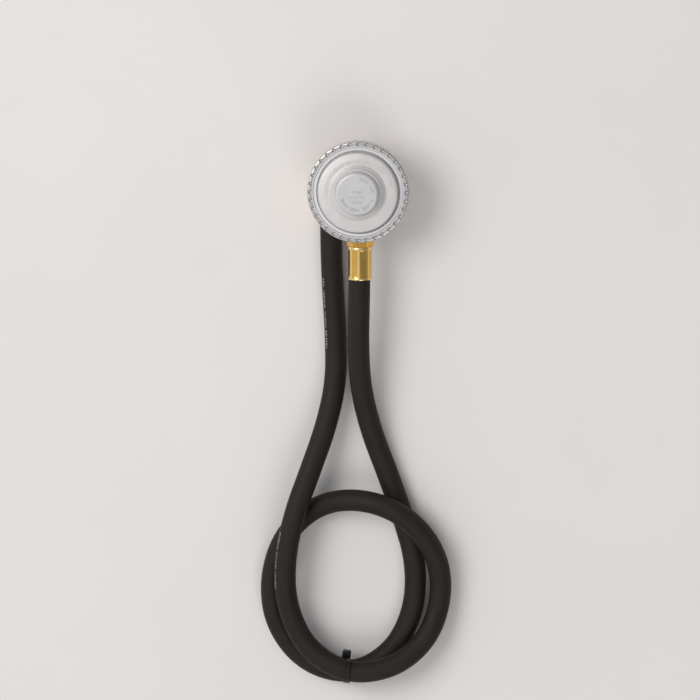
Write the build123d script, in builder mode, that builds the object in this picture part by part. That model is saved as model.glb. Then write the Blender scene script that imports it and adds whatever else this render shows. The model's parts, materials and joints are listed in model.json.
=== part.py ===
"""A low-pressure camping-gas regulator with one metre of gas hose crimped to its outlet.

Frame: millimetres, +Z up. The origin is on the regulator's axis, at the free end of its inlet
thread, which stands on the floor. The regulator faces up, its outlet points along -Y, and the hose
runs from it to a tied loop and back to its far end, which lies beside the inlet.
"""
from build123d import *
from math import atan2, cos, degrees, pi, radians, sin, tan
import os

# Hose and its fittings
HOSE_R = 7.1
HOSE_BORE_R = 4.0
FERRULE_LENGTH = 21.7
FERRULE_CORNER_R = 8.1
FERRULE_BORE_R = 6.95
FERRULE_END = 0.6
TAIL_BORE_R = 2.75
TAIL_FLATS = 15.0
NUT_FLATS = 17.0

# Regulator: radii
RIM_R = 32.8
BOWL_R = 29.4
BOWL_FOOT_R = 25.5
BOWL_BEND_R = 28.6
LIP_BORE_R = 29.0
FLANGE_R = 31.4
CHAMBER_R = 26.0
TOWER_R = 8.0
BOSS_R = 9.0
NECK_R = 11.5
GLAND_R = 9.0
CLIP_ROOM_R = 8.4
PASSAGE_R = 3.2
ADJUSTER_R = 11.2
CAP_R = 13.9
SHAFT_R = 6.0
SPIGOT_R = 4.5
OUTLET_BORE_R = 3.8
RUNNING = 0.05
PRESS = 0.02
OVERLAP = 0.1

# Regulator: heights
THREAD_R = 8.0
THREAD_TOP = 11.0
COLLAR_BASE = 13.0
NECK_BASE = 19.0
GLAND_TOP = 22.5
SPIGOT_BASE = 24.2
SPIGOT_TOP = 27.2
PASSAGE_TOP = 31.0
BOWL_BASE = 22.5
BOWL_BEND_Z = 26.1
SKIRT = 35.2
FLOOR_TOP = 25.5
TOWER_TOP = 32.2
LEDGE = 37.0
DIAPHRAGM_TOP = 37.8
FLANGE_TOP = 40.4
RIM_TOP = 42.2
PLATEAU = 46.0
CAP_SEAT = 48.4
CAP_TOP = 53.0
OUTLET_Z = 27.0
VALVE_Z = 29.6

# Crimp marks round the rolled rim
CRIMP_COUNT = 36
CRIMP_CIRCLE_R = 31.0
CRIMP_BALL_R = 1.35
CRIMP_DEPTH = 0.9

# Lever, its pivot and the valve it moves
PIVOT_X = 20.5
PIVOT_Z = 33.5
PIN_R = 1.25
PIN_LENGTH = 12.4
EAR_R = 2.2
EAR_THICK = 2.0
EAR_GAP = 7.2
LEVER_HUB_WIDTH = 6.8
ARM_X = 9.0
ARM_Z = 34.35
ARM_LENGTH = 23.0
ARM_WIDTH = 3.0
ARM_THICK = 1.2
GUIDE_X = 14.0
GUIDE_LENGTH = 4.4
GUIDE_WIDTH = 10.0
GUIDE_HEIGHT = 7.5
JET_R = 2.2
PLUNGER_R = 2.8
SEAT_DISC_R = 2.0
SEAT_DISC_THICK = 1.5

# Outlet fitting along -Y
BOSS_START = 14.0
BOSS_END = 32.4
TAIL_THREAD_R = 6.58
TAIL_THREAD_LENGTH = 9.6
SEAL_WASHER = 0.8
TAIL_HEX = 3.4

# Far end: its axis lies along +Y beside the inlet
END_X = -20.5
END_Z = NUT_FLATS / 2
HOSE_END_Y = -4.0
NUT_BASE_Y = -2.8
NUT_LENGTH = 14.0
NUT_THREAD_R = 5.72
NUT_THREAD_LENGTH = 5.2
NUT_BACK = 3.2
NUT_NECK_R = 4.5

# Hose route, from the far end to the regulator: straight runs joined by tangent arcs.
# It leaves the far end, rises over the loop, goes down the loop's left side on top, round the
# bottom and up the right side, over the other leg, round the top, down the left side on the
# floor, round the bottom, up inside the loop, under it and up to the regulator's outlet.
ROUTE = [
    (-20.5, -4.0, 8.5),
    (-20.5, -35.0, 8.5),
    (-19.5, -66.0, 7.1),
    (-17.5, -97.0, 7.1),
    (-17.0, -128.0, 9.0),
    (-23.0, -157.0, 13.5),
    (-33.0, -186.0, 19.5),
    (-43.5, -215.0, 23.0),
    (-50.0, -245.5, 22.0),
    (-49.5, -276.0, 20.0),
    (-36.5, -305.0, 21.5),
    (-9.5, -321.5, 24.2),
    (22.0, -317.5, 22.0),
    (45.0, -298.0, 14.5),
    (53.5, -267.5, 9.5),
    (48.5, -237.5, 16.5),
    (28.5, -213.0, 24.0),
    (-0.5, -204.0, 20.0),
    (-29.5, -210.5, 9.5),
    (-52.0, -232.0, 7.1),
    (-61.5, -262.0, 7.1),
    (-58.0, -293.0, 7.1),
    (-38.0, -318.5, 7.3),
    (-6.5, -326.0, 8.8),
    (21.0, -309.5, 7.3),
    (34.5, -281.0, 7.1),
    (35.5, -249.0, 7.1),
    (27.0, -219.0, 7.1),
    (16.5, -189.5, 7.1),
    (6.0, -161.0, 10.5),
    (-0.5, -131.0, 17.0),
    (-1.5, -101.0, 23.5),
    (-0.5, -70.5, 27.0),
    (0.0, -37.2, 27.0),
]
ARC_SHARE = 0.45

# Cable tie round the two strands at the bottom of the loop
TIE_X = -8.5
TIE_TURN = -8.5
TIE_LOW = (-323.4, 8.45)
TIE_HIGH = (-319.3, 23.6)
TIE_BORE_R = 7.25
TIE_THICK = 1.0
TIE_WIDTH = 3.5
TIE_HEAD = (5.6, 5.8, 5.2)
TIE_HEAD_SHIFT = 2.2
TIE_HEAD_BASE = TIE_BORE_R + 0.45

os.makedirs("parts", exist_ok=True)


def save(builder, name):
    """Label one finished piece and write it."""
    builder.part.label = name
    export_step(builder.part, f"parts/{name}.step")


def ring(low, high, outer, inner=0.0):
    """Closed profile of a ring about the vertical axis, drawn on Plane.XZ."""
    Polyline((inner, low), (outer, low), (outer, high), (inner, high), close=True)


def arc_radii(points):
    """The largest tangent arc that each corner of a route allows."""
    radii = []
    for before, corner, after in zip(points, points[1:], points[2:]):
        run_in = Vector(*corner) - Vector(*before)
        run_out = Vector(*after) - Vector(*corner)
        turn = radians(run_in.get_angle(run_out))
        radii.append(ARC_SHARE * min(run_in.length, run_out.length) / tan(turn / 2))
    return radii


# ---------------------------------------------------------------- regulator castings

with BuildPart() as regulator_body:
    with BuildSketch(Plane.XZ):
        with BuildLine():
            shell = FilletPolyline(
                (0, NECK_BASE),
                (NECK_R, NECK_BASE),
                (NECK_R, BOWL_BASE),
                (BOWL_FOOT_R, BOWL_BASE),
                (BOWL_BEND_R, BOWL_BEND_Z),
                (BOWL_R, SKIRT - 0.6),
                (RIM_R, SKIRT),
                (RIM_R, RIM_TOP),
                (LIP_BORE_R, RIM_TOP),
                radius=[0.8, 0.6, 2.0, 2.0, 0.6, 0.8, 1.3],
            )
            Polyline(shell @ 1, (0, RIM_TOP), shell @ 0)
        make_face()
    revolve(axis=Axis.Z)
    # Outlet boss
    with BuildSketch(Plane.XZ.offset(BOSS_START)):
        with Locations((0, OUTLET_Z)):
            Circle(BOSS_R)
    extrude(amount=BOSS_END - BOSS_START)
    # Gas chamber round the inlet tower, the diaphragm's seat and the mouth
    with BuildSketch(Plane.XZ):
        with BuildLine():
            Polyline(
                (0, TOWER_TOP),
                (TOWER_R, TOWER_TOP),
                (TOWER_R, FLOOR_TOP),
                (CHAMBER_R, FLOOR_TOP),
                (CHAMBER_R, LEDGE),
                (FLANGE_R + RUNNING, LEDGE),
                (FLANGE_R + RUNNING, FLANGE_TOP),
                (LIP_BORE_R, FLANGE_TOP),
                (LIP_BORE_R, RIM_TOP),
                (0, RIM_TOP),
                close=True,
            )
        make_face()
    revolve(axis=Axis.Z, mode=Mode.SUBTRACT)
    # Guide block for the valve plunger and the two ears of the lever's pivot
    with BuildSketch(Plane.XY.offset(FLOOR_TOP)):
        with Locations((GUIDE_X, 0)):
            Rectangle(GUIDE_LENGTH, GUIDE_WIDTH)
    extrude(amount=GUIDE_HEIGHT)
    for ear_start in (-EAR_GAP / 2 - EAR_THICK, EAR_GAP / 2):
        with BuildSketch(Plane.XZ.offset(ear_start)):
            with Locations((PIVOT_X, (FLOOR_TOP + PIVOT_Z) / 2)):
                Rectangle(2 * EAR_R, PIVOT_Z - FLOOR_TOP)
            with Locations((PIVOT_X, PIVOT_Z)):
                Circle(EAR_R)
        extrude(amount=EAR_THICK)
    with BuildSketch(Plane.XZ):
        with Locations((PIVOT_X, PIVOT_Z)):
            Circle(PIN_R + PRESS)
    extrude(amount=EAR_GAP, both=True, mode=Mode.SUBTRACT)
    # Inlet bores in the neck and the tower
    with BuildSketch(Plane.XZ):
        with BuildLine():
            ring(NECK_BASE, GLAND_TOP + OVERLAP, GLAND_R + RUNNING)
        make_face()
        with BuildLine():
            ring(GLAND_TOP, SPIGOT_BASE + OVERLAP, CLIP_ROOM_R)
        make_face()
        with BuildLine():
            ring(SPIGOT_BASE, SPIGOT_TOP + OVERLAP, SPIGOT_R + RUNNING)
        make_face()
        with BuildLine():
            ring(SPIGOT_TOP, PASSAGE_TOP, PASSAGE_R)
        make_face()
    revolve(axis=Axis.Z, mode=Mode.SUBTRACT)
    # Jet hole and plunger guide on one axis
    with BuildSketch(Plane.YZ.offset(2.0)):
        with Locations((0, VALVE_Z)):
            Circle(JET_R + PRESS)
    extrude(amount=6.5, mode=Mode.SUBTRACT)
    with BuildSketch(Plane.YZ.offset(11.0)):
        with Locations((0, VALVE_Z)):
            Circle(PLUNGER_R + RUNNING)
    extrude(amount=6.0, mode=Mode.SUBTRACT)
    # Outlet: threaded mouth and passage to the chamber
    with BuildSketch(Plane.XZ.offset(BOSS_END - TAIL_THREAD_LENGTH - 0.3)):
        with Locations((0, OUTLET_Z)):
            Circle(TAIL_THREAD_R + PRESS)
    extrude(amount=TAIL_THREAD_LENGTH + 0.3, mode=Mode.SUBTRACT)
    with BuildSketch(Plane.XZ.offset(13.0)):
        with Locations((0, OUTLET_Z)):
            Circle(OUTLET_BORE_R)
    extrude(amount=12.0, mode=Mode.SUBTRACT)
    # Crimp marks round the rolled rim
    with Locations((0, 0, RIM_TOP + CRIMP_BALL_R - CRIMP_DEPTH)):
        with PolarLocations(CRIMP_CIRCLE_R, CRIMP_COUNT):
            Sphere(CRIMP_BALL_R, mode=Mode.SUBTRACT)
save(regulator_body, "regulator_body")

PLATEAU_R = 25.7
STEP_BASE_R = 18.2
STEP_R = 15.9
CAP_SEAT_R = 12.6
CAP_SKIRT_R = 12.75
ADJUSTER_BORE_TOP = 51.2
BREATHER_Y = -13.9

with BuildPart() as bonnet:
    with BuildSketch(Plane.XZ):
        with BuildLine():
            face_line = FilletPolyline(
                (FLANGE_R, DIAPHRAGM_TOP),
                (FLANGE_R, FLANGE_TOP),
                (LIP_BORE_R - RUNNING, FLANGE_TOP),
                (LIP_BORE_R - RUNNING, FLANGE_TOP + 1.3),
                (26.9, FLANGE_TOP + 1.4),
                (26.3, FLANGE_TOP + 0.3),
                (25.9, FLANGE_TOP + 0.3),
                (PLATEAU_R, PLATEAU - 0.5),
                (21.5, PLATEAU - 0.05),
                (STEP_BASE_R, PLATEAU),
                (STEP_R, PLATEAU + 1.4),
                (STEP_R - 0.2, CAP_SEAT),
                (CAP_SEAT_R, CAP_SEAT),
                (CAP_SEAT_R, ADJUSTER_BORE_TOP),
                (ADJUSTER_R + RUNNING, ADJUSTER_BORE_TOP),
                radius=[0.15, 0.02, 0.5, 0.4, 0.1, 0.1, 1.4, 4.0, 1.2, 0.4, 0.3, 0.1, 0.2],
            )
            Polyline(
                face_line @ 1,
                (ADJUSTER_R + RUNNING, 43.9),
                (21.5, 43.7),
                (24.0, 42.0),
                (24.2, DIAPHRAGM_TOP),
                face_line @ 0,
            )
        make_face()
    revolve(axis=Axis.Z)
    # Breather passage through the cap's seat, away from the face
    with BuildSketch(Plane.XY.offset(42.0)):
        with Locations((0, BREATHER_Y)):
            Circle(0.7)
    extrude(amount=8.0, mode=Mode.SUBTRACT)
save(bonnet, "bonnet")

with BuildPart() as tamper_cap:
    with BuildSketch(Plane.XZ):
        with BuildLine():
            cap_line = FilletPolyline(
                (CAP_SKIRT_R, CAP_SEAT),
                (CAP_R + 0.3, CAP_SEAT),
                (CAP_R - 0.1, CAP_TOP),
                (0, CAP_TOP + 0.15),
                radius=[0.3, 1.7],
            )
            cap_inside = ADJUSTER_BORE_TOP + 0.2
            Polyline(cap_line @ 1, (0, cap_inside), (CAP_SKIRT_R, cap_inside), cap_line @ 0)
        make_face()
    revolve(axis=Axis.Z)
    # Breather notch under the skirt
    with BuildSketch(Plane.XY.offset(CAP_SEAT)):
        with Locations((0, BREATHER_Y)):
            Rectangle(1.8, 2.4)
    extrude(amount=0.9, mode=Mode.SUBTRACT)
save(tamper_cap, "tamper_cap")

# ---------------------------------------------------------------- diaphragm stack

POST_R = 2.5
POST_HOLE_R = POST_R + 0.1
POST_FOOT_R = 3.3
POST_FOOT_Z = TOWER_TOP + 0.6
POST_LENGTH = 7.0
WASHER_R = 9.0
WASHER_THICK = 0.8
PLATE_R = 18.2
PLATE_THICK = 1.0
PLATE_RIM = 2.8
PLATE_TOP = DIAPHRAGM_TOP + PLATE_THICK
ROLL_HEIGHT = 1.6
POST_NUT_FLATS = 8.0
POST_NUT_HEIGHT = 3.0

with BuildPart() as diaphragm:
    with BuildSketch(Plane.XZ):
        with BuildLine():
            Polyline(
                (POST_HOLE_R, LEDGE),
                (19.2, LEDGE),
                (20.4, LEDGE + ROLL_HEIGHT),
                (22.3, LEDGE + ROLL_HEIGHT),
                (23.5, LEDGE),
                (FLANGE_R, LEDGE),
                (FLANGE_R, DIAPHRAGM_TOP),
                (23.9, DIAPHRAGM_TOP),
                (22.7, DIAPHRAGM_TOP + ROLL_HEIGHT),
                (20.0, DIAPHRAGM_TOP + ROLL_HEIGHT),
                (18.8, DIAPHRAGM_TOP),
                (POST_HOLE_R, DIAPHRAGM_TOP),
                close=True,
            )
        make_face()
    revolve(axis=Axis.Z)
save(diaphragm, "diaphragm")

with BuildPart() as diaphragm_plate:
    with BuildSketch(Plane.XZ):
        with BuildLine():
            Polyline(
                (POST_HOLE_R, DIAPHRAGM_TOP),
                (PLATE_R, DIAPHRAGM_TOP),
                (PLATE_R, DIAPHRAGM_TOP + PLATE_RIM),
                (PLATE_R - PLATE_THICK, DIAPHRAGM_TOP + PLATE_RIM),
                (PLATE_R - PLATE_THICK, PLATE_TOP),
                (POST_HOLE_R, PLATE_TOP),
                close=True,
            )
        make_face()
    revolve(axis=Axis.Z)
save(diaphragm_plate, "diaphragm_plate")

with BuildPart() as lower_washer:
    with BuildSketch(Plane.XY.offset(LEDGE - WASHER_THICK)):
        Circle(WASHER_R)
        Circle(POST_HOLE_R, mode=Mode.SUBTRACT)
    extrude(amount=WASHER_THICK)
save(lower_washer, "lower_washer")

with BuildPart() as diaphragm_post:
    with BuildSketch(Plane.XY.offset(POST_FOOT_Z)):
        Circle(POST_FOOT_R)
    extrude(amount=LEDGE - WASHER_THICK - POST_FOOT_Z)
    with BuildSketch(Plane.XY.offset(LEDGE - WASHER_THICK)):
        Circle(POST_R)
    extrude(amount=POST_LENGTH)
    # Eye for the lever's tip
    with BuildSketch(Plane.YZ):
        with Locations((0, ARM_Z)):
            Rectangle(ARM_WIDTH + 0.4, ARM_THICK + 0.7)
    extrude(amount=2 * POST_R, both=True, mode=Mode.SUBTRACT)
save(diaphragm_post, "diaphragm_post")

with BuildPart() as post_nut:
    with BuildSketch(Plane.XY.offset(PLATE_TOP)):
        RegularPolygon(POST_NUT_FLATS / 2, 6, major_radius=False)
        Circle(POST_R, mode=Mode.SUBTRACT)
    extrude(amount=POST_NUT_HEIGHT)
save(post_nut, "post_nut")

SPRING_R = 8.9
SPRING_WIRE_R = 0.6
SPRING_TOP = 48.0
SPRING_TURNS = 3.25
SPRING_GAP = 0.05
ADJUSTER_THICK = 3.0
ADJUSTER_HOLE_R = 4.0
KEY_SLOT = (18.0, 2.4, 1.2)

with BuildPart() as main_spring:
    spring_low = PLATE_TOP + SPRING_WIRE_R + SPRING_GAP
    spring_rise = SPRING_TOP - SPRING_WIRE_R - SPRING_GAP - spring_low
    spring_pitch = spring_rise / SPRING_TURNS
    with BuildLine() as coil:
        Helix(pitch=spring_pitch, height=spring_rise, radius=SPRING_R, center=(0, 0, spring_low))
    with BuildSketch(Plane(origin=coil.wires()[0] @ 0, z_dir=coil.wires()[0] % 0)):
        Circle(SPRING_WIRE_R)
    sweep(path=coil.wires()[0], is_frenet=True)
save(main_spring, "main_spring")

with BuildPart() as adjuster_ring:
    with BuildSketch(Plane.XY.offset(SPRING_TOP)):
        Circle(ADJUSTER_R)
        Circle(ADJUSTER_HOLE_R, mode=Mode.SUBTRACT)
    extrude(amount=ADJUSTER_THICK)
    with BuildSketch(Plane.XY.offset(SPRING_TOP + ADJUSTER_THICK - KEY_SLOT[2])):
        Rectangle(KEY_SLOT[0], KEY_SLOT[1])
    extrude(amount=KEY_SLOT[2], mode=Mode.SUBTRACT)
save(adjuster_ring, "adjuster_ring")

# ---------------------------------------------------------------- lever and valve

with BuildPart() as lever:
    with BuildSketch(Plane.XZ.offset(-LEVER_HUB_WIDTH / 2)):
        with Locations((PIVOT_X, PIVOT_Z)):
            Circle(EAR_R)
    extrude(amount=LEVER_HUB_WIDTH)
    with BuildSketch(Plane.XZ.offset(-ARM_WIDTH / 2)):
        with Locations((ARM_X, ARM_Z)):
            Rectangle(ARM_LENGTH, ARM_THICK)
        with BuildLine():
            Polyline((18.15, 28.4), (19.9, 28.4), (20.6, 33.0), (18.6, 33.6), (18.15, 32.0), close=True)
        make_face()
    extrude(amount=ARM_WIDTH)
    with BuildSketch(Plane.XZ):
        with Locations((PIVOT_X, PIVOT_Z)):
            Circle(PIN_R + RUNNING)
    extrude(amount=LEVER_HUB_WIDTH, both=True, mode=Mode.SUBTRACT)
save(lever, "lever")

with BuildPart() as lever_pin:
    with BuildSketch(Plane.XZ.offset(-PIN_LENGTH / 2)):
        with Locations((PIVOT_X, PIVOT_Z)):
            Circle(PIN_R)
    extrude(amount=PIN_LENGTH)
save(lever_pin, "lever_pin")

JET_START = 3.4
JET_SHOULDER = 8.0
JET_TIP = 9.4
JET_HOLE_R = 0.5
SEAT_FACE = 9.75
PLUNGER_NOSE = SEAT_FACE + 0.4
PLUNGER_TAIL = 17.2

with BuildPart() as orifice_jet:
    with BuildSketch(Plane.YZ.offset(JET_START)):
        with Locations((0, VALVE_Z)):
            Circle(JET_R)
    extrude(amount=JET_SHOULDER - JET_START)
    with BuildSketch(Plane.YZ.offset(JET_SHOULDER)):
        with Locations((0, VALVE_Z)):
            Circle(JET_R - 0.6)
    extrude(amount=JET_TIP - JET_SHOULDER, taper=12)
    with BuildSketch(Plane.YZ.offset(JET_START - 0.4)):
        with Locations((0, VALVE_Z)):
            Circle(JET_HOLE_R)
    extrude(amount=7.0, mode=Mode.SUBTRACT)
save(orifice_jet, "orifice_jet")

with BuildPart() as valve_plunger:
    with BuildSketch(Plane.YZ.offset(PLUNGER_NOSE)):
        with Locations((0, VALVE_Z)):
            Circle(PLUNGER_R)
    extrude(amount=PLUNGER_TAIL - PLUNGER_NOSE)
    with BuildSketch(Plane.YZ.offset(PLUNGER_TAIL)):
        with Locations((0, VALVE_Z)):
            Circle(1.2)
    extrude(amount=0.8)
    with BuildSketch(Plane.YZ.offset(SEAT_FACE)):
        with Locations((0, VALVE_Z)):
            Circle(SEAT_DISC_R)
    extrude(amount=SEAT_DISC_THICK, mode=Mode.SUBTRACT)
save(valve_plunger, "valve_plunger")

with BuildPart() as valve_seat_disc:
    with BuildSketch(Plane.YZ.offset(SEAT_FACE)):
        with Locations((0, VALVE_Z)):
            Circle(SEAT_DISC_R)
    extrude(amount=SEAT_DISC_THICK)
save(valve_seat_disc, "valve_seat_disc")

# ---------------------------------------------------------------- swivelling inlet

GROOVE_LOW = 23.0
GROOVE_HIGH = 24.0
CLIP_BORE_R = 5.4
O_RING_Z = 25.7
O_RING_WIRE_R = 0.6
NOSE_R = 4.5
NOSE_DEPTH = 5.0
NOSE_PASSAGE_R = 2.0
O_RING_GROOVE_R = 3.3
NECKED_R = 6.6
COLLAR_R = 10.4
COLLAR_HEIGHT = 5.5
FLUTES = 28
FLUTE_R = 0.55

with BuildPart() as inlet_stem:
    with BuildSketch(Plane.XZ):
        with BuildLine():
            Polyline(
                (NOSE_R, 0),
                (THREAD_R, 0),
                (THREAD_R, THREAD_TOP),
                (NECKED_R, THREAD_TOP),
                (NECKED_R, COLLAR_BASE),
                (SHAFT_R, COLLAR_BASE),
                (SHAFT_R, GROOVE_LOW),
                (CLIP_BORE_R, GROOVE_LOW),
                (CLIP_BORE_R, GROOVE_HIGH),
                (SHAFT_R, GROOVE_HIGH),
                (SHAFT_R, SPIGOT_BASE),
                (SPIGOT_R, SPIGOT_BASE),
                (SPIGOT_R, O_RING_Z - 0.7),
                (O_RING_GROOVE_R, O_RING_Z - 0.7),
                (O_RING_GROOVE_R, O_RING_Z + 0.7),
                (SPIGOT_R, O_RING_Z + 0.7),
                (SPIGOT_R, SPIGOT_TOP),
                (NOSE_PASSAGE_R, SPIGOT_TOP),
                (NOSE_PASSAGE_R, NOSE_DEPTH),
                (NOSE_R, NOSE_DEPTH),
                close=True,
            )
        make_face()
    revolve(axis=Axis.Z)
save(inlet_stem, "inlet_stem")

with BuildPart() as hand_collar:
    with BuildSketch(Plane.XY.offset(COLLAR_BASE)):
        Circle(COLLAR_R)
        with PolarLocations(COLLAR_R + 0.1, FLUTES):
            Circle(FLUTE_R, mode=Mode.SUBTRACT)
        Circle(SHAFT_R, mode=Mode.SUBTRACT)
    extrude(amount=COLLAR_HEIGHT)
save(hand_collar, "hand_collar")

with BuildPart() as gland_nut:
    with BuildSketch(Plane.XY.offset(NECK_BASE)):
        Circle(GLAND_R)
        Circle(SHAFT_R + RUNNING, mode=Mode.SUBTRACT)
    extrude(amount=GLAND_TOP - NECK_BASE)
    with BuildSketch(Plane.XY.offset(NECK_BASE)):
        with PolarLocations(7.6, 4):
            Circle(0.8)
    extrude(amount=1.6, mode=Mode.SUBTRACT)
save(gland_nut, "gland_nut")

with BuildPart() as thrust_washer:
    with BuildSketch(Plane.XY.offset(GLAND_TOP)):
        Circle(8.3)
        Circle(SHAFT_R + 0.1, mode=Mode.SUBTRACT)
    extrude(amount=0.45)
save(thrust_washer, "thrust_washer")

with BuildPart() as retaining_clip:
    with BuildSketch(Plane.XY.offset(GROOVE_LOW + PRESS)):
        Circle(7.6)
        Circle(CLIP_BORE_R + PRESS, mode=Mode.SUBTRACT)
        with Locations((0, 7.0)):
            Rectangle(3.0, 6.0, mode=Mode.SUBTRACT)
    extrude(amount=0.96)
save(retaining_clip, "retaining_clip")

with BuildPart() as stem_o_ring:
    with BuildSketch(Plane.XZ):
        with Locations((SPIGOT_R + PRESS - O_RING_WIRE_R, O_RING_Z)):
            Circle(O_RING_WIRE_R)
    revolve(axis=Axis.Z)
save(stem_o_ring, "stem_o_ring")

with BuildPart() as inlet_seal_ring:
    with BuildSketch(Plane.XY.offset(THREAD_TOP + 0.2)):
        Circle(8.3)
        Circle(NECKED_R + RUNNING, mode=Mode.SUBTRACT)
    extrude(amount=1.6)
save(inlet_seal_ring, "inlet_seal_ring")

with BuildPart() as inlet_filter:
    with BuildSketch(Plane.XY.offset(NOSE_DEPTH - 1.1)):
        Circle(NOSE_R - PRESS)
    extrude(amount=1.1)
save(inlet_filter, "inlet_filter")

with BuildPart() as valve_pin:
    with BuildSketch(Plane.XY.offset(2.6)):
        Circle(NOSE_R - PRESS)
        with PolarLocations(2.9, 3):
            Circle(0.9, mode=Mode.SUBTRACT)
    extrude(amount=1.2)
    with BuildSketch(Plane.XY.offset(0.3)):
        Circle(1.0)
    extrude(amount=2.4)
save(valve_pin, "valve_pin")

# ---------------------------------------------------------------- hose tail at the regulator

SEAL_END = BOSS_END + SEAL_WASHER
HEX_END = SEAL_END + TAIL_HEX
BARB_LENGTH = 20.5
BARB_COUNT = 4
BARB_RISE = 0.15
BARB_PITCH = 4.2
BARB_STEP = 2.2
BARB_TAPER = 3.5

with BuildPart() as tail_washer:
    with BuildSketch(Plane.XZ.offset(BOSS_END)):
        with Locations((0, OUTLET_Z)):
            Circle(TAIL_FLATS / 2 + OVERLAP)
            Circle(TAIL_THREAD_R + 0.1, mode=Mode.SUBTRACT)
    extrude(amount=SEAL_WASHER)
save(tail_washer, "tail_washer")

with BuildPart() as hose_tail:
    with BuildSketch(Plane.XZ.offset(BOSS_END - TAIL_THREAD_LENGTH)):
        with Locations((0, OUTLET_Z)):
            Circle(TAIL_THREAD_R)
    extrude(amount=TAIL_THREAD_LENGTH + SEAL_WASHER)
    with BuildSketch(Plane.XZ.offset(SEAL_END)) as tail_hexagon:
        with Locations((0, OUTLET_Z)):
            RegularPolygon(TAIL_FLATS / 2, 6, major_radius=False)
        fillet(tail_hexagon.vertices(), 0.6)
    extrude(amount=TAIL_HEX)
    with BuildSketch(Plane.XZ.offset(HEX_END)):
        with Locations((0, OUTLET_Z)):
            Circle(HOSE_BORE_R)
    extrude(amount=BARB_LENGTH)
    for barb in range(BARB_COUNT):
        with BuildSketch(Plane.XZ.offset(HEX_END + 3.0 + BARB_PITCH * barb)):
            with Locations((0, OUTLET_Z)):
                Circle(HOSE_BORE_R + BARB_RISE)
        extrude(amount=BARB_STEP, taper=BARB_TAPER)
    with BuildSketch(Plane.XZ.offset(20.0)):
        with Locations((0, OUTLET_Z)):
            Circle(TAIL_BORE_R)
    extrude(amount=45.0, mode=Mode.SUBTRACT)
save(hose_tail, "hose_tail")

FERRULE_LIP = 1.2


def ferrule(plane):
    """Crimped sleeve: a flanged end, an eight-sided crimp and a round lip, along the plane's normal."""
    with BuildPart() as sleeve:
        with BuildSketch(plane) as crimp:
            RegularPolygon(FERRULE_CORNER_R, 8)
            fillet(crimp.vertices(), 0.7)
        extrude(amount=FERRULE_LENGTH - FERRULE_LIP)
        with BuildSketch(plane.offset(FERRULE_LENGTH - FERRULE_LIP)):
            Circle(FERRULE_CORNER_R)
        extrude(amount=FERRULE_LIP)
        with BuildSketch(plane.offset(FERRULE_END)):
            Circle(FERRULE_BORE_R)
        extrude(amount=FERRULE_LENGTH, mode=Mode.SUBTRACT)
        with BuildSketch(plane.offset(-1)):
            Circle(HOSE_BORE_R + 0.55)
        extrude(amount=3, mode=Mode.SUBTRACT)
    return sleeve


regulator_ferrule = ferrule(Plane(origin=(0, -HEX_END, OUTLET_Z), x_dir=(0, 0, 1), z_dir=(0, -1, 0)))
save(regulator_ferrule, "regulator_ferrule")

# ---------------------------------------------------------------- hose

with BuildPart() as hose:
    radii = arc_radii(ROUTE)
    with BuildLine() as path:
        FilletPolyline(*ROUTE, radius=radii)
    hose_length = path.wires()[0].length
    with BuildSketch(Plane(origin=path.wires()[0] @ 0, z_dir=path.wires()[0] % 0)):
        Circle(HOSE_R)
        Circle(HOSE_BORE_R, mode=Mode.SUBTRACT)
    sweep(path=path.wires()[0])
save(hose, "hose")
print("arc radii", [round(radius) for radius in radii])
print("hose length", round(hose_length, 1))
hose_section = pi * (HOSE_R**2 - HOSE_BORE_R**2)
print("volume over section times length", hose.part.volume / (hose_section * hose_length))

# ---------------------------------------------------------------- cable tie

tie_rise = TIE_HIGH[1] - TIE_LOW[1]
tie_shift = TIE_HIGH[0] - TIE_LOW[0]
tie_span = (tie_rise**2 + tie_shift**2) ** 0.5
tie_middle = ((TIE_LOW[0] + TIE_HIGH[0]) / 2, (TIE_LOW[1] + TIE_HIGH[1]) / 2)
tie_normal = (cos(radians(TIE_TURN)), sin(radians(TIE_TURN)), 0)
tie_across = (-sin(radians(TIE_TURN)), cos(radians(TIE_TURN)), 0)
tie_plane = Plane(origin=(TIE_X, tie_middle[0], tie_middle[1]), x_dir=tie_across, z_dir=tie_normal)

with BuildPart() as cable_tie:
    lean = degrees(atan2(tie_rise, tie_shift))
    with BuildSketch(tie_plane.offset(-TIE_WIDTH / 2)):
        SlotCenterToCenter(tie_span, 2 * (TIE_BORE_R + TIE_THICK), rotation=lean)
        SlotCenterToCenter(tie_span, 2 * TIE_BORE_R, rotation=lean, mode=Mode.SUBTRACT)
    extrude(amount=TIE_WIDTH)
    with BuildSketch(tie_plane.offset(-TIE_HEAD[0] / 2 - TIE_HEAD_SHIFT)):
        with Locations((TIE_HEAD_BASE + TIE_HEAD[1] / 2, 0)):
            Rectangle(TIE_HEAD[1], TIE_HEAD[2])
    extrude(amount=TIE_HEAD[0])
save(cable_tie, "cable_tie")

# ---------------------------------------------------------------- far end

FERRULE_TOP_Y = HOSE_END_Y + FERRULE_END
FLANGE_BASE_Y = NUT_BASE_Y + NUT_BACK + 0.1
END_FLANGE_R = 5.55
END_FLANGE_THICK = 1.6
NUT_ROOM_R = 6.1
NUT_CHAMFER_R = 8.8
NUT_CORNER_R = 10.2
NUT_CHAMFER = 0.8

outlet_ferrule = ferrule(Plane(origin=(END_X, FERRULE_TOP_Y, END_Z), x_dir=(0, 0, 1), z_dir=(0, -1, 0)))
save(outlet_ferrule, "outlet_ferrule")

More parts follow.
